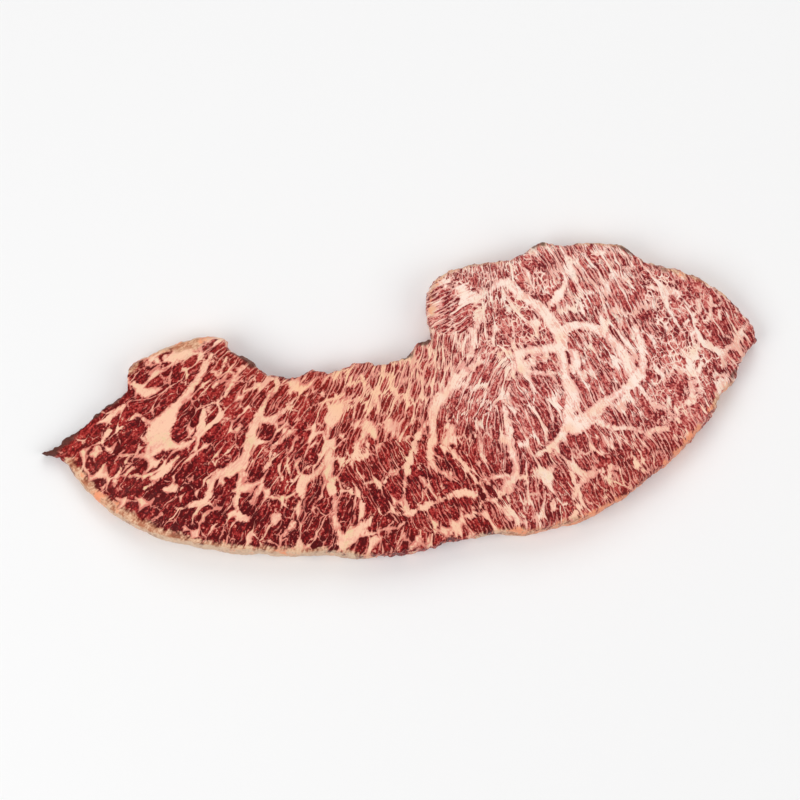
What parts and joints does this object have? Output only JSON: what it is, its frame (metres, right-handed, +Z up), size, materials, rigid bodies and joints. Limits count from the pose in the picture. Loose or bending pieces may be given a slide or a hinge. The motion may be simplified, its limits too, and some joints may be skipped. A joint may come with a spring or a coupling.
{
  "type": "raw sirloin steak",
  "caption": "Thin crescent-shaped slice of raw, heavily marbled beef, with a pointed tail, a fat edge and a broad rounded eye.",
  "frame": {"origin": "under the middle of the slice's box, on the plane it lies on", "axes": "+X towards the broad eye along the slice's length, +Y towards the concave edge, +Z up through the thickness"},
  "size_m": [0.28, 0.1246, 0.0154],
  "materials": {
    "meat": "raw meat, dark red lean with cream-pink marbling, moist satin surface"
  },
  "bodies": {
    "root": {"steak": "meat"}
  },
  "joints": []
}
